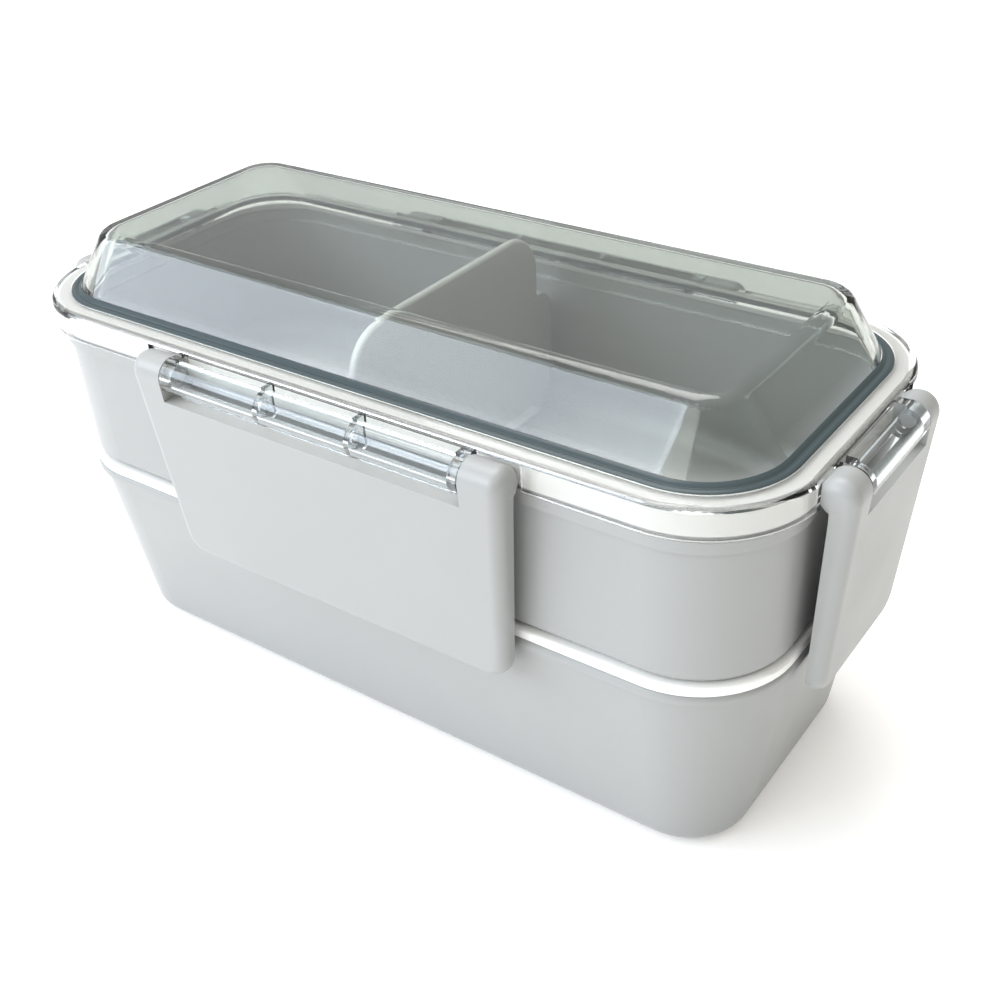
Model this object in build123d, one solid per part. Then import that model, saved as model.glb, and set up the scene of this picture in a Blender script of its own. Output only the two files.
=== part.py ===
from build123d import *
import os
from math import cos, radians, sin, tan

# Two-tier bento lunch box with a domed lid and four snap latches.
# Millimetres. X runs along the long side, -Y is the front, Z is up.
# The origin is on the table, at the centre of the lower container's base.
# "Inset" is how far a rounded outline lies inside the lid's outer edge.
# A side's section is drawn in (o, z): o is the distance outside that edge.

# ---- driving dimensions ------------------------------------------------------
LENGTH = 184.0            # lid flange, over its long side
WIDTH = 84.0              # lid flange, over its short side
CORNER = 23.0             # plan radius of the lid flange
DOME_TOP_Z = 99.3         # highest point of the closed box

# lower container
LOWER_BASE_INSET = 9.5
LOWER_TOP_INSET = 2.9
LOWER_WALL = 2.0
LOWER_RIM_Z = 45.3
SHOULDER_INSET = 2.0      # rounded bead round the rim
SHOULDER_Z = 43.4         # underside of that bead, where the latches catch
BASE_EDGE_R = 3.6
BEAD_TOP_R = 1.2
LUG_OUT = -1.5            # catch lug face, measured like a section's o
LUG_OVERHANG = 3.0        # lug past the hook, at each end
LUG_TOP_DROP = 0.9        # lug top below the rim
LUG_END_R = 0.4
FOOT_HEIGHT = 0.6
LOWER_FOOT_RING = (6.0, 9.0)     # the foot's sides, inside the base outline
TUB_FLOOR_R = 5.0         # inside rounding where wall meets floor, both tubs

# inner lid
BAND_INSET = 2.3          # the white band seen between the tiers
BAND_BOTTOM_Z = 45.4
BAND_TOP_Z = 47.3
PANEL_TOP_Z = 46.3
PANEL_THICKNESS = 1.4
PANEL_EDGE = 8.0          # thick edge of the panel, seen from below
BAND_WIDTH = 4.4
BAND_TOP_R = 0.5
PLUG_DEPTH = 4.0
PLUG_GAP = 1.1            # between the plug and the lower tub's wall
PLUG_WALL = 1.4

# upper container
UPPER_BASE_Z = 47.4
UPPER_BASE_INSET = 3.1
UPPER_TOP_INSET = 2.3
UPPER_WALL = 1.9
UPPER_FLOOR = 2.0
UPPER_BASE_R = 2.2
UPPER_FOOT_RING = (5.0, 7.0)     # the foot's sides, inside the band
UPPER_FOOT_GAP = 0.4      # foot above the inner lid's panel
RIM_TOP_R = 0.6           # rounding on the rim and on the collar
COLLAR_INSET = 1.6
COLLAR_Z = (76.6, 79.3)
RIM_INSETS = (2.7, 4.5)
RIM_TOP_Z = 82.2

# lid
FLANGE_TOP_Z = 86.6
FLANGE_THICKNESS = 1.7
SKIRT_BOTTOM_Z = 80.0
SKIRT_THICKNESS = 1.4
GROOVE_INSETS = (4.4, 6.4)
GROOVE_DEPTH = 0.6
FLANGE_TOP_R = 1.5
SKIRT_FOOT_R = 0.4
LID_PLUG_INSETS = (4.9, 6.2)
LID_PLUG_BOTTOM_Z = 79.6
DOME_TOP_INSET = 14.4
DOME_TOP_CORNER = 6.5
DOME_TOP_R = 3.6          # rounding between the dome's slopes and its top
DOME_INNER_R = 2.0
DOME_WALL = 1.8

# lid seal
SEAL_INSET = 1.9
SEAL_LIP = 0.5            # thickness of the lip outside the tub's rim
SEAL_GAP = 0.3            # over the tub's rim
LIP_FOOT_GAP = 0.4        # lip above the skirt's foot

# latch hinge, in section
PIVOT_O = 2.4
PIVOT_Z = 82.0
EAR_R = 3.9
BARREL_R = 3.9
BARREL_BORE_R = 2.5
EAR_CLEARANCE = 0.3       # between an ear and the barrel's end
NOTCH_CLEARANCE = 0.45    # round an ear, where it turns in the lid's edge
PIN_R = 1.5
PIN_LENGTH = 2.4
PIN_HOLE_R = 1.55
PIN_ROOT = 1.0            # how far the pin's body reaches into its ear
END_WALL = 2.5
RIB = 1.2
BARREL_ROOT_DROP = 0.7    # the barrel's root above the skirt's foot

# latch flap, in section
FLAP_LEAN = 4.7           # degrees that the flap leans in towards its foot
FLAP_BOTTOM_Z = 36.8
FLAP_PLATE = 2.0
FLAP_EDGE_R = 2.6         # rounding of the flap's and ears' outer edges
FLAP_CORNER_R = 5.5       # rounding of the flap's lower corners, seen from outside
FLAP_BACK_TOP = (1.4, 77.6)
FLAP_BACK_BOTTOM = (-0.6, 37.6)
CUTOUT_Z = 77.3
CUTOUT_RAIL = 2.2         # solid rail under the cut-out
HOOK_TIP_O = -1.2
HOOK_TOP_Z = 43.1
HOOK_HEIGHT = 3.4
HOOK_NOSE = 0.9

# half-widths of the two latch sizes: flap at the pivot, flap at its foot,
# hinge barrel, hook, and the number of hollow bays in the barrel
LONG_LATCH = dict(top=46.0, foot=42.9, barrel=37.0, hook=27.0, bays=3)
SHORT_LATCH = dict(top=20.0, foot=17.4, barrel=13.3, hook=9.0, bays=1)

# divider
DIVIDER_THICKNESS = 2.0
DIVIDER_TOP_Z = 93.3
DIVIDER_SHOULDER_Z = 77.5
DIVIDER_TOP_HALF = 31.2
DIVIDER_TOP_R = 9.5
DIVIDER_EDGE_R = 0.8
DIVIDER_FOOT = (6.0, 1.5)        # width and height of its foot
DIVIDER_FLOOR_GAP = 0.3
DIVIDER_RIM_GAP = 0.8
DIVIDER_WALL_GAP = 0.7    # further gap at the tub's wall, below the rim
DIVIDER_FOOT_R = 6.0
DIVIDER_SHOULDER_R = 4.5
DIVIDER_FOOT_SETBACK = 7.0
DIVIDER_FOOT_BEVEL = 0.6

# how far shapes run past or into each other, so that cuts and joins are clean
LAP = 0.1

# the four sides: turn about Z that carries a front section to that side,
# the distance from the centre to the lid's edge there, and the latch size
SIDES = {
    "front": (0, WIDTH / 2, LONG_LATCH),
    "right": (90, LENGTH / 2, SHORT_LATCH),
    "back": (180, WIDTH / 2, LONG_LATCH),
    "left": (270, LENGTH / 2, SHORT_LATCH),
}


# ---- shared shapes -----------------------------------------------------------
def outline(inset, z, corner=None):
    """A rounded rectangle that lies a given inset inside the lid's edge."""
    radius = CORNER - inset if corner is None else corner
    return Plane.XY.offset(z) * RectangleRounded(LENGTH - 2 * inset, WIDTH - 2 * inset, radius)


def prism(inset, z_low, z_high):
    return extrude(outline(inset, z_low), z_high - z_low)


def ring(outer_inset, inner_inset, z_low, z_high):
    return prism(outer_inset, z_low, z_high) - prism(inner_inset, z_low, z_high)


def tapered(inset_low, z_low, inset_high, z_high, corner_high=None):
    return loft([outline(inset_low, z_low), outline(inset_high, z_high, corner_high)])


def edges_at(solid, z, tolerance=0.01):
    """The edges of a solid that lie in one level plane."""
    return [e for e in solid.edges() if abs(e.bounding_box().min.Z - z) < tolerance
            and abs(e.bounding_box().max.Z - z) < tolerance]


def round_level_edge(solid, z, radius):
    return fillet(edges_at(solid, z), radius)


def section_plane(edge_distance, x):
    """Plane of a front section: its local x is o, its local y is z."""
    return Plane(origin=(x, -edge_distance, 0), x_dir=(0, -1, 0), z_dir=(-1, 0, 0))


def extrude_section(face, edge_distance, x_low, x_high):
    """Sweep a front section from x_low to x_high."""
    return extrude(section_plane(edge_distance, x_high) * face, x_high - x_low, dir=(-1, 0, 0))


def disc(radius):
    return Pos(PIVOT_O, PIVOT_Z) * Circle(radius)


def section_box(o_low, o_high, z_low, z_high):
    centre = Pos((o_low + o_high) / 2, (z_low + z_high) / 2)
    return centre * Rectangle(o_high - o_low, z_high - z_low)


# ---- lower container ---------------------------------------------------------
def make_lower_container():
    wall_top_z = LOWER_RIM_Z - BEAD_TOP_R / 2
    outer = tapered(LOWER_BASE_INSET, FOOT_HEIGHT, LOWER_TOP_INSET, wall_top_z)
    outer = round_level_edge(outer, FOOT_HEIGHT, BASE_EDGE_R)
    bead = prism(SHOULDER_INSET, SHOULDER_Z, LOWER_RIM_Z)
    bead = round_level_edge(bead, LOWER_RIM_Z, BEAD_TOP_R)
    ring_out, ring_in = LOWER_FOOT_RING
    foot = ring(LOWER_BASE_INSET + ring_out, LOWER_BASE_INSET + ring_in, 0, 2 * FOOT_HEIGHT)
    body = outer + bead + foot
    for turn, edge_distance, latch in SIDES.values():
        half = latch["hook"] + LUG_OVERHANG
        lug = section_box(-SHOULDER_INSET - LOWER_WALL, LUG_OUT,
                          SHOULDER_Z, LOWER_RIM_Z - LUG_TOP_DROP)
        lug_bar = extrude_section(lug, edge_distance, -half, half)
        end_edges = lug_bar.edges().filter_by(Axis.Z).sort_by(Axis.Y)[:2]
        body += Rot(0, 0, turn) * fillet(end_edges, LUG_END_R)
    floor_z = FOOT_HEIGHT + LOWER_WALL
    cavity = tapered(LOWER_BASE_INSET + LOWER_WALL, floor_z,
                     LOWER_TOP_INSET + LOWER_WALL, LOWER_RIM_Z)
    cavity = round_level_edge(cavity, floor_z, TUB_FLOOR_R)
    return body - cavity


# ---- inner lid ---------------------------------------------------------------
def make_inner_lid():
    band = prism(BAND_INSET, BAND_BOTTOM_Z, BAND_TOP_Z)
    band = round_level_edge(band, BAND_TOP_Z, BAND_TOP_R)
    recess = prism(BAND_INSET + BAND_WIDTH, PANEL_TOP_Z, BAND_TOP_Z)
    plug_inset = LOWER_TOP_INSET + LOWER_WALL + PLUG_GAP
    plug = ring(plug_inset, plug_inset + PLUG_WALL, BAND_BOTTOM_Z - PLUG_DEPTH, BAND_BOTTOM_Z)
    panel_cut = prism(BAND_INSET + PANEL_EDGE, BAND_BOTTOM_Z - 1, PANEL_TOP_Z - PANEL_THICKNESS)
    return band - recess + plug - panel_cut


# ---- upper container ---------------------------------------------------------
def make_upper_container():
    body = tapered(UPPER_BASE_INSET, UPPER_BASE_Z, UPPER_TOP_INSET, COLLAR_Z[1])
    body = round_level_edge(body, UPPER_BASE_Z, UPPER_BASE_R)
    collar = prism(COLLAR_INSET, COLLAR_Z[0], COLLAR_Z[1])
    collar = round_level_edge(collar, COLLAR_Z[1], RIM_TOP_R)
    rim = prism(RIM_INSETS[0], COLLAR_Z[1] - LAP, RIM_TOP_Z)
    rim = round_level_edge(rim, RIM_TOP_Z, RIM_TOP_R)
    ring_out, ring_in = UPPER_FOOT_RING
    foot = ring(BAND_INSET + ring_out, BAND_INSET + ring_in,
                PANEL_TOP_Z + UPPER_FOOT_GAP, UPPER_BASE_Z + UPPER_FLOOR / 4)
    floor_z = UPPER_BASE_Z + UPPER_FLOOR
    cavity = tapered(UPPER_BASE_INSET + UPPER_WALL, floor_z, RIM_INSETS[1], RIM_TOP_Z)
    cavity = round_level_edge(cavity, floor_z, TUB_FLOOR_R)
    return body + collar + rim + foot - cavity


# ---- divider -----------------------------------------------------------------
def make_divider():
    """A plate across the width that rises into the dome, on a wider foot."""
    base_z = UPPER_BASE_Z + UPPER_FLOOR + DIVIDER_FLOOR_GAP
    wall_half = WIDTH / 2 - RIM_INSETS[1] - DIVIDER_RIM_GAP
    lower_half = wall_half - DIVIDER_WALL_GAP
    shoulder = Pos(0, (base_z + DIVIDER_SHOULDER_Z) / 2) * Rectangle(
        2 * lower_half, DIVIDER_SHOULDER_Z - base_z)
    shoulder = fillet(shoulder.vertices().group_by(Axis.Y)[0], DIVIDER_FOOT_R)
    shoulder = fillet(shoulder.vertices().group_by(Axis.Y)[-1], DIVIDER_SHOULDER_R)
    crest_low = DIVIDER_SHOULDER_Z - DIVIDER_FOOT_R
    crest = Pos(0, (crest_low + DIVIDER_TOP_Z) / 2) * Rectangle(
        2 * DIVIDER_TOP_HALF, DIVIDER_TOP_Z - crest_low)
    crest = fillet(crest.vertices().group_by(Axis.Y)[-1], DIVIDER_TOP_R)
    across = Plane(origin=(0, 0, 0), x_dir=(0, 1, 0), z_dir=(1, 0, 0))
    plate = extrude(across * (shoulder + crest), DIVIDER_THICKNESS / 2, both=True)
    top_edges = [e for e in plate.edges() if e.center().Z > DIVIDER_SHOULDER_Z + 2
                 and abs(abs(e.center().X) - DIVIDER_THICKNESS / 2) < 0.01]
    plate = fillet(top_edges, DIVIDER_EDGE_R)
    foot_width, foot_height = DIVIDER_FOOT
    foot_length = 2 * (lower_half - DIVIDER_FOOT_SETBACK)
    foot = Pos(0, 0, base_z + foot_height / 2) * Box(foot_width, foot_length, foot_height)
    return plate + chamfer(foot.edges().group_by(Axis.Z)[-1], DIVIDER_FOOT_BEVEL)


# ---- lid ---------------------------------------------------------------------
def make_lid_shell():
    """Dome, flange, skirt, foot groove and the plug wall under the dome."""
    flange_low = FLANGE_TOP_Z - FLANGE_THICKNESS
    rim = prism(0, SKIRT_BOTTOM_Z, FLANGE_TOP_Z)
    rim = round_level_edge(rim, FLANGE_TOP_Z, FLANGE_TOP_R)
    rim = round_level_edge(rim, SKIRT_BOTTOM_Z, SKIRT_FOOT_R)
    dome = tapered(GROOVE_INSETS[1], FLANGE_TOP_Z - LAP, DOME_TOP_INSET, DOME_TOP_Z, DOME_TOP_CORNER)
    dome = round_level_edge(dome, DOME_TOP_Z, DOME_TOP_R)
    under_skirt = prism(SKIRT_THICKNESS, SKIRT_BOTTOM_Z - 1, flange_low)
    plug = ring(LID_PLUG_INSETS[0], LID_PLUG_INSETS[1], LID_PLUG_BOTTOM_Z, flange_low)
    hollow = tapered(GROOVE_INSETS[1] + DOME_WALL, flange_low - LAP,
                     DOME_TOP_INSET + DOME_WALL, DOME_TOP_Z - DOME_WALL, DOME_TOP_CORNER - 1)
    hollow = round_level_edge(hollow, DOME_TOP_Z - DOME_WALL, DOME_INNER_R)
    groove = ring(GROOVE_INSETS[0], GROOVE_INSETS[1], FLANGE_TOP_Z - GROOVE_DEPTH, FLANGE_TOP_Z + LAP)
    return rim + dome - under_skirt - hollow - groove + plug


def make_barrel(edge_distance, latch):
    """The hinge barrel of one side: a hollow shell on end walls and ribs."""
    half = latch["barrel"]
    root_o = -SKIRT_THICKNESS / 2
    root = section_box(root_o, PIVOT_O, SKIRT_BOTTOM_Z + BARREL_ROOT_DROP, PIVOT_Z + BARREL_R)
    behind = section_box(root_o - 6, root_o, PIVOT_Z - 6, PIVOT_Z + 6)     # keeps the skirt open
    barrel = extrude_section(disc(BARREL_R) + root - behind, edge_distance, -half, half)
    bay_face = disc(BARREL_BORE_R) + section_box(0, PIVOT_O, PIVOT_Z - 6, PIVOT_Z + 6)
    inner_half = half - END_WALL
    pitch = 2 * inner_half / latch["bays"]
    for bay in range(latch["bays"]):
        low = -inner_half + bay * pitch
        margin_low = RIB / 2 if bay > 0 else 0
        margin_high = RIB / 2 if bay < latch["bays"] - 1 else 0
        barrel -= extrude_section(bay_face, edge_distance, low + margin_low, low + pitch - margin_high)
    return barrel - extrude_section(disc(PIN_HOLE_R), edge_distance, -half - 1, half + 1)


def make_ear_notches(edge_distance, latch):
    """What the latch's ears sweep out of the flange and skirt."""
    reach = EAR_R + NOTCH_CLEARANCE
    low = latch["barrel"] - END_WALL / 5
    high = latch["top"] + NOTCH_CLEARANCE
    right = extrude_section(disc(reach), edge_distance, low, high)
    return right + mirror(right, about=Plane.YZ)


def make_lid():
    lid = make_lid_shell()
    for turn, edge_distance, latch in SIDES.values():
        lid -= Rot(0, 0, turn) * make_ear_notches(edge_distance, latch)
    for turn, edge_distance, latch in SIDES.values():
        lid += Rot(0, 0, turn) * make_barrel(edge_distance, latch)
    return lid


def make_lid_seal():
    """Soft ring under the flange, with a lip outside the tub's rim."""
    top_z = FLANGE_TOP_Z - FLANGE_THICKNESS
    web_low = RIM_TOP_Z + SEAL_GAP
    web = ring(SEAL_INSET, LID_PLUG_INSETS[0] - LAP, web_low, top_z)
    lip = ring(SEAL_INSET, SEAL_INSET + SEAL_LIP, SKIRT_BOTTOM_Z + LIP_FOOT_GAP, web_low + LAP)
    return web + lip


# ---- latches -----------------------------------------------------------------
def flap_face_o(z):
    """Where the flap's outer face lies in section at height z."""
    lean = radians(FLAP_LEAN)
    return PIVOT_O + EAR_R * cos(lean) - (PIVOT_Z - EAR_R * sin(lean) - z) * tan(lean)


def back_edge_o(z):
    """Where the back edge of the side walls lies in section at height z."""
    (o_top, z_top), (o_low, z_low) = FLAP_BACK_TOP, FLAP_BACK_BOTTOM
    return o_low + (o_top - o_low) * (z - z_low) / (z_top - z_low)


def flap_outline(latch, margin=0.0):
    """Front view of the flap, tapered to its foot, drawn in (x, z)."""
    top, foot = latch["top"] - margin, latch["foot"] - margin
    foot_z = FLAP_BOTTOM_Z + margin
    sketch = make_face(Polyline((top, PIVOT_Z), (foot, foot_z), (-foot, foot_z), (-top, PIVOT_Z),
                                close=True))
    return fillet(sketch.vertices().group_by(Axis.Y)[0], FLAP_CORNER_R - margin)


def extrude_outline(sketch, edge_distance):
    """Sweep a front view from the box's middle out past the latch."""
    front = Plane(origin=(0, 0, 0), x_dir=(1, 0, 0), z_dir=(0, -1, 0))
    return extrude(front * sketch, edge_distance + 30, dir=(0, -1, 0))


def make_flap_blank(edge_distance, latch):
    """The flap below the ears, before it is hollowed out."""
    lean = radians(FLAP_LEAN)
    tangent = (PIVOT_O + EAR_R * cos(lean), PIVOT_Z - EAR_R * sin(lean))
    foot_out = (flap_face_o(FLAP_BOTTOM_Z - 1), FLAP_BOTTOM_Z - 1)
    foot_in = (back_edge_o(FLAP_BOTTOM_Z - 1), FLAP_BOTTOM_Z - 1)
    side_view = make_face(Polyline(tangent, foot_out, foot_in, FLAP_BACK_TOP,
                                   (FLAP_BACK_TOP[0], PIVOT_Z - 1), (PIVOT_O, PIVOT_Z), close=True))
    blank = extrude_section(side_view, edge_distance, -latch["top"] - 1, latch["top"] + 1)
    blank &= extrude_outline(flap_outline(latch), edge_distance)

    def on_face(edge):
        middle = edge.position_at(0.5)
        return abs(middle.Y + edge_distance + flap_face_o(middle.Z)) < 0.01

    rim_edges = [e for e in blank.edges() if on_face(e) and e.center().Z < tangent[1] - 0.1]
    return fillet(rim_edges, FLAP_EDGE_R)


def make_tray_hollow(edge_distance, latch):
    """The hollow behind the flap, open towards the box."""
    low_z, high_z = FLAP_BOTTOM_Z, CUTOUT_Z - CUTOUT_RAIL
    side_view = make_face(Polyline(
        (flap_face_o(low_z) - FLAP_PLATE, low_z), (flap_face_o(high_z) - FLAP_PLATE, high_z),
        (-6, high_z), (-6, low_z), close=True))
    hollow = extrude_section(side_view, edge_distance, -latch["top"], latch["top"])
    return hollow & extrude_outline(flap_outline(latch, FLAP_PLATE), edge_distance)


def make_hook(edge_distance, latch):
    """Wedge bar behind the flap that catches under the lower rim's lug."""
    foot_z = HOOK_TOP_Z - HOOK_HEIGHT
    root_top = flap_face_o(HOOK_TOP_Z) - FLAP_PLATE / 2
    root_foot = flap_face_o(foot_z) - FLAP_PLATE / 2
    side_view = make_face(Polyline((root_top, HOOK_TOP_Z), (HOOK_TIP_O, HOOK_TOP_Z),
                                   (HOOK_TIP_O, HOOK_TOP_Z - HOOK_NOSE), (root_foot, foot_z), close=True))
    return extrude_section(side_view, edge_distance, -latch["hook"], latch["hook"])


def make_ear(edge_distance, latch):
    """The right ear: a round end for the flap, with its stub pivot."""
    inner = latch["barrel"] + EAR_CLEARANCE
    ear = extrude_section(disc(EAR_R), edge_distance, inner, latch["top"])
    outer_edge = ear.edges().filter_by(GeomType.CIRCLE).sort_by(Axis.X)[-1]
    ear = fillet(outer_edge, FLAP_EDGE_R)
    pin = extrude_section(disc(PIN_R), edge_distance, inner - PIN_LENGTH, inner + PIN_ROOT)
    return ear + pin


def make_front_latch(edge_distance, latch):
    """One latch at the front place, hanging on its stub pivots."""
    flap = make_flap_blank(edge_distance, latch) - make_tray_hollow(edge_distance, latch)
    ear_gap = latch["barrel"] + EAR_CLEARANCE
    gap = section_box(PIVOT_O - 8, PIVOT_O + 8, CUTOUT_Z, PIVOT_Z + 8)
    flap -= extrude_section(gap, edge_distance, -ear_gap, ear_gap)
    ear = make_ear(edge_distance, latch)
    return flap + make_hook(edge_distance, latch) + ear + mirror(ear, about=Plane.YZ)


# ---- all nodes ---------------------------------------------------------------
def make_nodes():
    nodes = {
        "lower_container": make_lower_container(),
        "inner_lid": make_inner_lid(),
        "upper_container": make_upper_container(),
        "divider": make_divider(),
        "lid": make_lid(),
        "lid_seal": make_lid_seal(),
    }
    for side, (turn, edge_distance, latch) in SIDES.items():
        nodes["latch_" + side] = Rot(0, 0, turn) * make_front_latch(edge_distance, latch)
    return nodes


def main():
    os.makedirs("parts", exist_ok=True)
    for name, shape in make_nodes().items():
        export_step(shape, "parts/" + name + ".step")


main()
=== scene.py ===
from math import cos, pi, radians, sin

import bpy
from mathutils import Euler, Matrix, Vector


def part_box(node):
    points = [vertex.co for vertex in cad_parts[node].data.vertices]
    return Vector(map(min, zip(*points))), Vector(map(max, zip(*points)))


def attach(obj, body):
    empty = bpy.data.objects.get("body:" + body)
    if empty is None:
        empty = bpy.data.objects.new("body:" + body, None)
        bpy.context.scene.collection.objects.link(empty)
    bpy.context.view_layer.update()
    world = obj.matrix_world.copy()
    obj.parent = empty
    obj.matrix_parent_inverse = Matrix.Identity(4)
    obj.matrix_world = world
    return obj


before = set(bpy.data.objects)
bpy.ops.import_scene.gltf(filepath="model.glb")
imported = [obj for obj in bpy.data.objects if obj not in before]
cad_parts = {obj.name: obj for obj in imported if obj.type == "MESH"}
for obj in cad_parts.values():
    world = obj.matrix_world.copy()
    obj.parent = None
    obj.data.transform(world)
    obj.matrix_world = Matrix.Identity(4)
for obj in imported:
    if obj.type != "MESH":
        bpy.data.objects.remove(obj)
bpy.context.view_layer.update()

MM = 0.001

# ---- places and sizes, from the frame ------------------------------------------
SEAL_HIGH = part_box("lid_seal")[1]
SEAL_INSET = 1.9 * MM                         # lid edge to the seal's outer edge
HALF_X = SEAL_HIGH.x + SEAL_INSET             # lid flange, half its length
HALF_Y = SEAL_HIGH.y + SEAL_INSET             # and half its width
FLANGE_CORNER = 23.0 * MM
FLANGE_THICKNESS = 1.7 * MM
FLANGE_TOP = SEAL_HIGH.z + FLANGE_THICKNESS
GROOVE_DEPTH = 0.6 * MM                       # the groove round the dome's foot
GROOVE_OUTER = 4.4 * MM                       # its edges, inset from the lid's edge
GROOVE_INNER = 6.4 * MM
DOME_SLOPE = 8.0 / 12.7                       # inward run of the dome's wall per rise

# ---- camera --------------------------------------------------------------------
CAMERA_PLACE = (0.1594, -0.1996, 0.2038)
CAMERA_TILT = 57.21                           # degrees from straight down
CAMERA_TURN = 36.72                           # degrees about Z
CAMERA_ROLL = -2.84                           # degrees about its own axis
CAMERA_LENS = 47.9                            # mm
CAMERA_SENSOR = 36.0                          # mm
CAMERA_NEAR = 10.0 * MM


def make_camera():
    data = bpy.data.cameras.new("camera")
    data.sensor_width = CAMERA_SENSOR
    data.lens = CAMERA_LENS
    data.clip_start = CAMERA_NEAR
    camera = bpy.data.objects.new("camera", data)
    bpy.context.scene.collection.objects.link(camera)
    camera.location = CAMERA_PLACE
    look = Euler((radians(CAMERA_TILT), 0, radians(CAMERA_TURN))).to_matrix()
    roll = Euler((0, 0, radians(CAMERA_ROLL))).to_matrix()
    camera.rotation_euler = (look @ roll).to_euler()
    bpy.context.scene.camera = camera


# ---- node trees ----------------------------------------------------------------
class Nodes:
    """A material's or world's node tree, with short calls for what repeats."""

    def __init__(self, owner, output_kind="ShaderNodeOutputMaterial", coordinates="Object"):
        self.owner = owner
        owner.use_nodes = True
        self.tree = owner.node_tree
        self.tree.nodes.clear()
        self.output = self.add(output_kind)
        self.place = self.add("ShaderNodeTexCoord").outputs[coordinates]

    def feed(self, socket, value):
        """Link an output to the socket, or set the socket to a number or colour."""
        if isinstance(value, bpy.types.NodeSocket):
            self.tree.links.new(value, socket)
        else:
            socket.default_value = value

    def add(self, kind, **inputs):
        node = self.tree.nodes.new(kind)
        for name, value in inputs.items():
            self.feed(node.inputs[name.replace("_", " ")], value)
        return node

    def noise(self, scale, detail=2.0, stretch=None):
        place = self.place
        if stretch is not None:
            place = self.add("ShaderNodeMapping", Vector=place, Scale=stretch).outputs["Vector"]
        node = self.add("ShaderNodeTexNoise", Vector=place, Scale=scale, Detail=detail)
        return node.outputs["Fac"]

    def ranged(self, value, low, high, from_low=0.25, from_high=0.75):
        """Low to high as value goes from from_low to from_high, which suit a noise."""
        node = self.add("ShaderNodeMapRange", Value=value, From_Min=from_low,
                        From_Max=from_high, To_Min=low, To_Max=high)
        return node.outputs["Result"]

    def blend(self, share, first, second):
        node = self.tree.nodes.new("ShaderNodeMix")
        node.data_type = "RGBA"
        for socket, value in ((0, share), (6, first), (7, second)):
            self.feed(node.inputs[socket], value)
        return node.outputs[2]

    def math(self, operation, first, second=0.0):
        node = self.tree.nodes.new("ShaderNodeMath")
        node.operation = operation
        self.feed(node.inputs[0], first)
        self.feed(node.inputs[1], second)
        return node.outputs[0]

    def axes(self):
        """The X, Y and Z of the place being shaded."""
        return self.add("ShaderNodeSeparateXYZ", Vector=self.place).outputs

    def bump(self, height, strength, distance):
        node = self.add("ShaderNodeBump", Height=height, Strength=strength, Distance=distance)
        return node.outputs["Normal"]

    def finish(self, shader):
        self.tree.links.new(shader.outputs[0], self.output.inputs["Surface"])
        return self.owner


def rgba(colour):
    return (*colour, 1.0)


def shaded(colour, factor):
    return tuple(min(1.0, c * factor) for c in colour)


# ---- light ---------------------------------------------------------------------
# Azimuth is the side a panel stands on, in degrees from +X towards +Y. Sizes are metres.
SOFTBOXES = (
    dict(name="window", azimuth=225, elevation=26, distance=1.5, width=1.21, height=0.76,
         radiance=5.4, colour=(0.80, 0.88, 1.0)),
    dict(name="wall", azimuth=263.5, elevation=27, distance=1.5, width=0.84, height=0.80,
         radiance=2.5, colour=(0.96, 0.99, 0.97)),
    dict(name="overhead", azimuth=150, elevation=72, distance=1.6, width=1.2, height=0.9,
         radiance=4.4, colour=(1.0, 0.99, 0.97)),
)

WORLD_COOL = (0.96, 0.975, 1.0)
WORLD_WARM = (0.50, 0.46, 0.38)
WORLD_WARM_SIDE = (0.93, 0.25, -0.28)         # towards the warm, dim side
WORLD_COOL_UNTIL = 0.25                       # share of the way from cool to warm side
WORLD_WARM_FROM = 0.85
WORLD_STRENGTH = 0.64
ZENITH_STRENGTH = 1.5
ZENITH_HEIGHTS = (0.45, 0.95)                 # Z of a direction where the zenith starts, is full


def add_softbox(name, azimuth, elevation, distance, width, height, radiance, colour):
    """A soft panel aimed at the box."""
    data = bpy.data.lights.new(name, "AREA")
    data.shape = "RECTANGLE"
    data.size = width
    data.size_y = height
    data.energy = radiance * pi * width * height
    data.color = colour
    panel = bpy.data.objects.new(name, data)
    bpy.context.scene.collection.objects.link(panel)
    level = cos(radians(elevation))
    away = Vector((cos(radians(azimuth)) * level, sin(radians(azimuth)) * level,
                   sin(radians(elevation))))
    panel.location = Vector((0, 0, FLANGE_TOP)) + away * distance
    panel.rotation_euler = away.to_track_quat("Z", "Y").to_euler()


def make_world():
    """A plain studio: cool from the left, warmer and dimmer from the right, bright overhead."""
    world = bpy.data.worlds.new("studio")
    bpy.context.scene.world = world
    n = Nodes(world, "ShaderNodeOutputWorld", "Generated")
    turn = n.tree.nodes.new("ShaderNodeVectorMath")
    turn.operation = "DOT_PRODUCT"
    n.feed(turn.inputs[0], n.place)
    n.feed(turn.inputs[1], WORLD_WARM_SIDE)
    ramp = n.add("ShaderNodeValToRGB", Fac=n.ranged(turn.outputs["Value"], 0, 1, -1, 1))
    cool, warm = ramp.color_ramp.elements
    cool.position = WORLD_COOL_UNTIL
    cool.color = rgba(WORLD_COOL)
    warm.position = WORLD_WARM_FROM
    warm.color = rgba(WORLD_WARM)
    strength = n.ranged(n.axes()["Z"], WORLD_STRENGTH, ZENITH_STRENGTH, *ZENITH_HEIGHTS)
    n.finish(n.add("ShaderNodeBackground", Color=ramp.outputs["Color"], Strength=strength))


def make_lights():
    for softbox in SOFTBOXES:
        add_softbox(**softbox)


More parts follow.
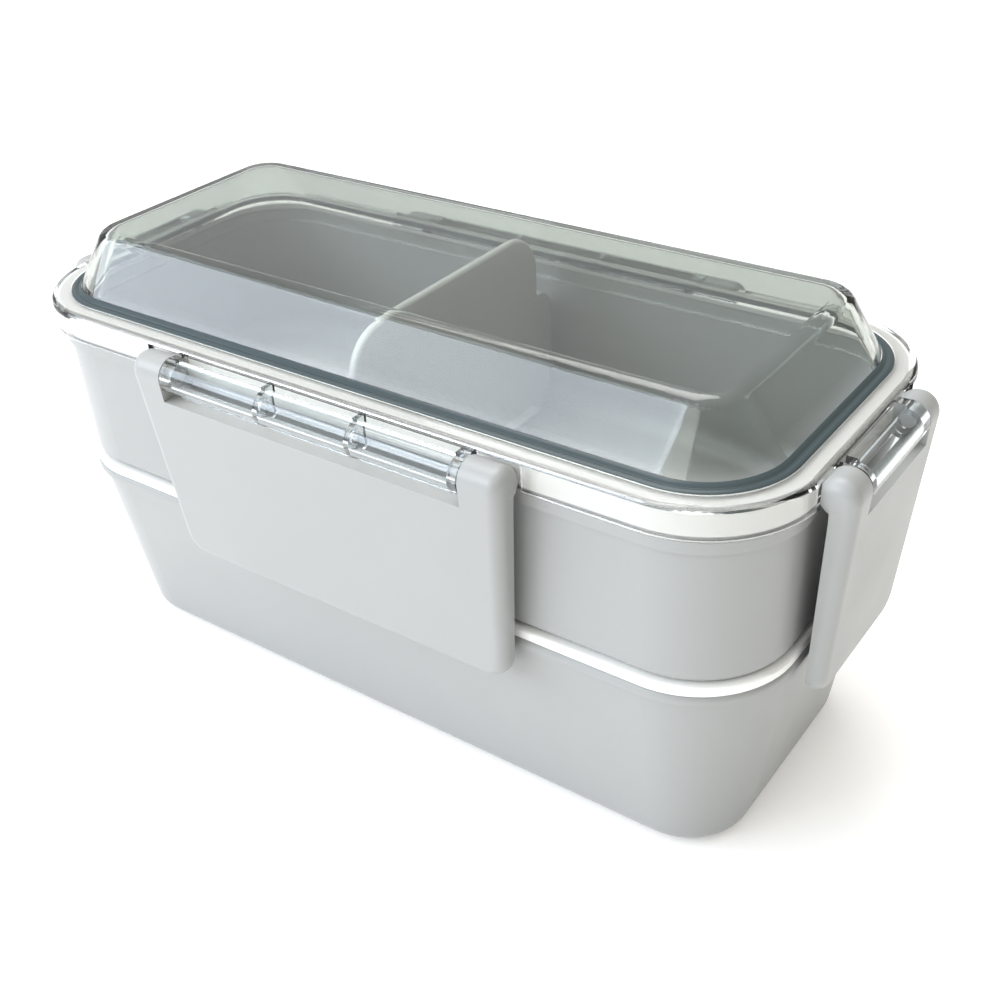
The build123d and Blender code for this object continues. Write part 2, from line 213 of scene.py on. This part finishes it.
# ---- materials -----------------------------------------------------------------
GREY = (0.345, 0.353, 0.350)
LATCH_LIFT = 1.01                             # the latches are a touch paler than the tubs
DIVIDER_GREY = (0.54, 0.545, 0.535)
INNER_LID_WHITE = (0.92, 0.92, 0.90)
SEAL_WHITE = (0.60, 0.60, 0.585)
# painted shade: the dark strip's colour stands in for the refraction darkening at the dome's
# foot
STRIP_PAINTED_SHADE = (0.050, 0.070, 0.076)
DOME_SMOKE = (0.62, 0.655, 0.62)
FLANGE_TINT = (0.96, 0.97, 0.96)
BARREL_TINT = (0.72, 0.76, 0.775)
FLANGE_LAMP_TINT = (0.985, 0.985, 0.98)       # what is left of the lamps' light
DOME_LAMP_TINT = (0.99, 0.995, 0.99)          # after one pass through the lid's surface

TUB_ROUGHNESS = 0.40
LATCH_ROUGHNESS = 0.345
DIVIDER_ROUGHNESS = 0.42
INNER_LID_ROUGHNESS = 0.45
SEAL_ROUGHNESS = 0.55
STRIP_ROUGHNESS = 0.20
STRIP_SPECULAR = 0.3
TUB_SCATTER = 0.04                            # share of light that scatters under the surface
SOFT_SCATTER = 0.1                            # in the white, softer pieces

PLASTIC_IOR = 1.49
CLEAR_IOR = 1.5

# Patterns are sized in repeats per metre; detail is how many finer layers they have.
CLOUD_SCALE = 22.0                            # slow drift of tone
CLOUD_DETAIL = 3.0
FLECK_SCALE = 900.0
FLECK_DETAIL = 1.0
GLOSS_SCALE = 60.0
GLOSS_DETAIL = 4.0
FLOW_SCALE = 18.0                             # faint waves left by the mould
FLOW_DETAIL = 0.0
GRAIN_SCALE = 2600.0                          # the mould's fine texture
SEAL_GRAIN_SCALE = 1400.0
CLOUD_TONES = (0.975, 1.02)
FLECK_TONE = 0.93
FLECK_SHARE = 0.10
GLOSS_SPREAD = (-0.05, 0.06)
GRAIN_DEPTH = 0.010                           # depths are shares of RELIEF
LATCH_GRAIN_DEPTH = 0.006
FLOW_DEPTH = 0.2
RELIEF = 0.6 * MM
RELIEF_STRENGTH = 0.16
SCATTER_RADIUS = 2.2 * MM

SMOKE_CLOUD_SCALE = 30.0
SMOKE_TONES = (0.985, 1.015)
HAZE_SCALE = 45.0
HAZE_DETAIL = 5.0
HAZE_ROUGHNESS = (0.012, 0.05)
SMEAR_SCALE = 90.0                            # long marks where the lid has been wiped
SMEAR_DETAIL = 6.0
SMEAR_STRETCH = (1.0, 3.0, 1.0)
SMEAR_ROUGHNESS = (0.0, 0.05)
SMEAR_FROM = (0.6, 0.78)                      # only the noise's peaks show
CLEAR_WAVE_SCALE = 26.0
CLEAR_WAVE_DETAIL = 1.0
CLEAR_WAVE_STRENGTH = 0.10
SMOKE_BELOW = 0.2 * MM                        # the smoke starts this far under the flange's top
SMOKE_ABOVE = 2.2 * MM                        # and is full this far over it
BARREL_FROM = (0.1 * MM, 1.2 * MM)            # barrel tint, by distance past the flange's edge


def plastic(name, colour, roughness, grain=GRAIN_SCALE, grain_depth=GRAIN_DEPTH, scatter=0.0):
    """Moulded plastic: cloudy colour, uneven gloss, a fine texture and faint flow waves."""
    n = Nodes(bpy.data.materials.new(name))
    cloud = n.ranged(n.noise(CLOUD_SCALE, CLOUD_DETAIL), 0, 1)
    tone = n.blend(cloud, *(rgba(shaded(colour, factor)) for factor in CLOUD_TONES))
    fleck = n.math("MULTIPLY", n.noise(FLECK_SCALE, FLECK_DETAIL), FLECK_SHARE)
    tone = n.blend(fleck, tone, rgba(shaded(colour, FLECK_TONE)))
    gloss = n.ranged(n.noise(GLOSS_SCALE, GLOSS_DETAIL),
                     *(roughness + more for more in GLOSS_SPREAD))
    texture = n.math("MULTIPLY", n.noise(grain), grain_depth)
    flow = n.math("MULTIPLY", n.noise(FLOW_SCALE, FLOW_DETAIL), FLOW_DEPTH)
    relief = n.bump(n.math("ADD", texture, flow), RELIEF_STRENGTH, RELIEF)
    return n.finish(n.add("ShaderNodeBsdfPrincipled", Base_Color=tone, Roughness=gloss,
                          Normal=relief, IOR=PLASTIC_IOR, Subsurface_Weight=scatter,
                          Subsurface_Radius=[SCATTER_RADIUS] * 3, Subsurface_Scale=1.0))


def past_flange(n):
    """0 on the lid's flange and dome, rising to 1 on the hinge barrels outside its edge."""
    axes = n.axes()
    past_x = n.math("SUBTRACT", n.math("ABSOLUTE", axes["X"]), HALF_X)
    past_y = n.math("SUBTRACT", n.math("ABSOLUTE", axes["Y"]), HALF_Y)
    return n.ranged(n.math("MAXIMUM", past_x, past_y), 0, 1, *BARREL_FROM)


def clear_plastic(name):
    """Clear moulded plastic, smoky above the flange, that lets light in to what it covers."""
    n = Nodes(bpy.data.materials.new(name))
    height = n.ranged(n.axes()["Z"], 0, 1, FLANGE_TOP - SMOKE_BELOW, FLANGE_TOP + SMOKE_ABOVE)
    cloud = n.ranged(n.noise(SMOKE_CLOUD_SCALE), 0, 1)
    smoky = n.blend(cloud, *(rgba(shaded(DOME_SMOKE, factor)) for factor in SMOKE_TONES))
    foot = n.blend(past_flange(n), rgba(FLANGE_TINT), rgba(BARREL_TINT))
    haze = n.ranged(n.noise(HAZE_SCALE, HAZE_DETAIL), *HAZE_ROUGHNESS)
    smear = n.ranged(n.noise(SMEAR_SCALE, SMEAR_DETAIL, SMEAR_STRETCH),
                     *SMEAR_ROUGHNESS, *SMEAR_FROM)
    wave = n.bump(n.noise(CLEAR_WAVE_SCALE, CLEAR_WAVE_DETAIL), CLEAR_WAVE_STRENGTH, RELIEF)
    glass = n.add("ShaderNodeBsdfPrincipled", Base_Color=n.blend(height, foot, smoky),
                  Roughness=n.math("ADD", haze, smear), Normal=wave,
                  Transmission_Weight=1.0, IOR=CLEAR_IOR)
    passed = n.blend(height, rgba(FLANGE_LAMP_TINT), rgba(DOME_LAMP_TINT))
    lamps = n.add("ShaderNodeBsdfTransparent", Color=passed)
    path = n.add("ShaderNodeLightPath").outputs
    plain = n.math("MAXIMUM", path["Is Shadow Ray"], path["Is Diffuse Ray"])
    both = n.add("ShaderNodeMixShader", Fac=plain)
    n.feed(both.inputs[1], glass.outputs[0])
    n.feed(both.inputs[2], lamps.outputs[0])
    return n.finish(both)


def dress_frame():
    """Give every CAD node its material."""
    tub = plastic("tub_satin", GREY, TUB_ROUGHNESS, scatter=TUB_SCATTER)
    latch = plastic("latch_soft_gloss", shaded(GREY, LATCH_LIFT), LATCH_ROUGHNESS,
                    grain_depth=LATCH_GRAIN_DEPTH)
    finishes = {
        "lower_container": tub,
        "upper_container": tub,
        "divider": plastic("divider_satin", DIVIDER_GREY, DIVIDER_ROUGHNESS),
        "inner_lid": plastic("inner_lid_white", INNER_LID_WHITE, INNER_LID_ROUGHNESS,
                             scatter=SOFT_SCATTER),
        "lid_seal": plastic("seal_white", SEAL_WHITE, SEAL_ROUGHNESS,
                            grain=SEAL_GRAIN_SCALE, scatter=SOFT_SCATTER),
        "lid": clear_plastic("lid_smoky_clear"),
    }
    for side in ("front", "right", "back", "left"):
        finishes["latch_" + side] = latch
    for node, material in finishes.items():
        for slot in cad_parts[node].material_slots:
            slot.material = material


# ---- the dark strip round the dome's foot, painted shade for the lid's refraction there ---
CORNER_STEPS = 16
CROWN_STEPS = 8
STRIP_GAP = 0.12 * MM                         # clear of the groove's walls
CROWN_DROP = 0.1 * MM                         # the crown's edges, under the flange's top
CROWN_RISE = 0.35 * MM
LIP_FOOT = 0.1 * MM
LIP_RISE = 0.9 * MM                           # how far the strip climbs the dome
LIP_THICKNESS = 0.12 * MM


def loop(inset, z):
    """Points of the rounded rectangle that lies inset inside the lid flange's edge."""
    radius = FLANGE_CORNER - inset
    cx = HALF_X - inset - radius
    cy = HALF_Y - inset - radius
    points = []
    for corner, (sx, sy) in enumerate(((1, 1), (-1, 1), (-1, -1), (1, -1))):
        for step in range(CORNER_STEPS + 1):
            a = pi / 2 * (corner + step / CORNER_STEPS)
            points.append(Vector((sx * cx + radius * cos(a), sy * cy + radius * sin(a), z)))
    return points


def mesh_piece(name, points, faces, material):
    """A new piece in the scene, made of the given points and faces."""
    mesh = bpy.data.meshes.new(name)
    mesh.from_pydata(points, [], faces)
    mesh.materials.append(material)
    piece = bpy.data.objects.new(name, mesh)
    bpy.context.scene.collection.objects.link(piece)
    return piece


def ring_piece(name, profile, material):
    """A closed ring swept round the lid with a closed profile of (inset, z) points."""
    loops = [loop(inset, z) for inset, z in profile]
    count = len(loops[0])
    faces = []
    for i in range(len(loops)):
        j = (i + 1) % len(loops)
        for k in range(count):
            m = (k + 1) % count
            faces.append((i * count + k, i * count + m, j * count + m, j * count + k))
    piece = mesh_piece(name, [p for points in loops for p in points], faces, material)
    piece.data.polygons.foreach_set("use_smooth", [True] * len(faces))
    piece.data.update()
    return piece


def strip_profile():
    """The strip's section: a crown over the groove, then a thin lip up the dome's foot."""
    outer = GROOVE_OUTER + STRIP_GAP
    inner = GROOVE_INNER - STRIP_GAP
    low = FLANGE_TOP - GROOVE_DEPTH + STRIP_GAP / 2
    lip_top = FLANGE_TOP + LIP_RISE
    lip_inset = inner + DOME_SLOPE * LIP_RISE + STRIP_GAP / 2
    points = [(outer, low)]
    for step in range(CROWN_STEPS):
        share = step / CROWN_STEPS
        points.append((outer + (inner - outer) * share,
                       FLANGE_TOP - CROWN_DROP + CROWN_RISE * sin(pi * share)))
    points += [(inner - LIP_FOOT, FLANGE_TOP + LIP_FOOT), (lip_inset - LIP_THICKNESS, lip_top),
               (lip_inset, lip_top), (inner, FLANGE_TOP), (inner, low)]
    return points


def make_painted_shade_ring():
    """The dark strip laid in the groove, on the lid's body: painted shade standing in for the
    darkening that the dome's thick foot gives by refraction.
    """
    material = plastic("dome_foot_painted_shade", STRIP_PAINTED_SHADE, STRIP_ROUGHNESS)
    shine = material.node_tree.nodes["Principled BSDF"]
    shine.inputs["Specular IOR Level"].default_value = STRIP_SPECULAR
    ring = ring_piece("dome_foot_painted_shade_ring", strip_profile(), material)
    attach(ring, "lid")


# ---- floor ---------------------------------------------------------------------
FLOOR_HALF = 4.0                              # metres
FLOOR_DROP = 0.1 * MM                         # keeps it clear of the box's foot
FLOOR_TONES = ((0.93, 0.92, 0.905), (0.95, 0.94, 0.925))
FLOOR_TONE_SCALE = 3.0
FLOOR_ROUGHNESS = 0.8
FLOOR_SPECULAR = 0.2
FLOOR_GRAIN_SCALE = 1500.0
FLOOR_GRAIN_STRENGTH = 0.1
FLOOR_GRAIN = 0.2 * MM
FLOOR_GLOW = 0.20
FLOOR_GLOW_COLOUR = (1.0, 1.0, 1.0)


def make_floor():
    """A plain pale sheet, with a little glow so that it stays white out to the edges."""
    n = Nodes(bpy.data.materials.new("floor_paper"))
    cloud = n.ranged(n.noise(FLOOR_TONE_SCALE), 0, 1)
    tone = n.blend(cloud, *(rgba(tone) for tone in FLOOR_TONES))
    grain = n.bump(n.noise(FLOOR_GRAIN_SCALE), FLOOR_GRAIN_STRENGTH, FLOOR_GRAIN)
    paper = n.add("ShaderNodeBsdfPrincipled", Base_Color=tone, Roughness=FLOOR_ROUGHNESS,
                  Normal=grain, Specular_IOR_Level=FLOOR_SPECULAR,
                  Emission_Color=rgba(FLOOR_GLOW_COLOUR), Emission_Strength=FLOOR_GLOW)
    corners = [(sx * FLOOR_HALF, sy * FLOOR_HALF, 0)
               for sx, sy in ((-1, -1), (1, -1), (1, 1), (-1, 1))]
    floor = mesh_piece("floor", corners, [(0, 1, 2, 3)], n.finish(paper))
    floor.location.z = -FLOOR_DROP


bpy.context.scene.view_settings.view_transform = "Standard"
make_camera()
make_world()
make_lights()
make_floor()
dress_frame()
make_painted_shade_ring()
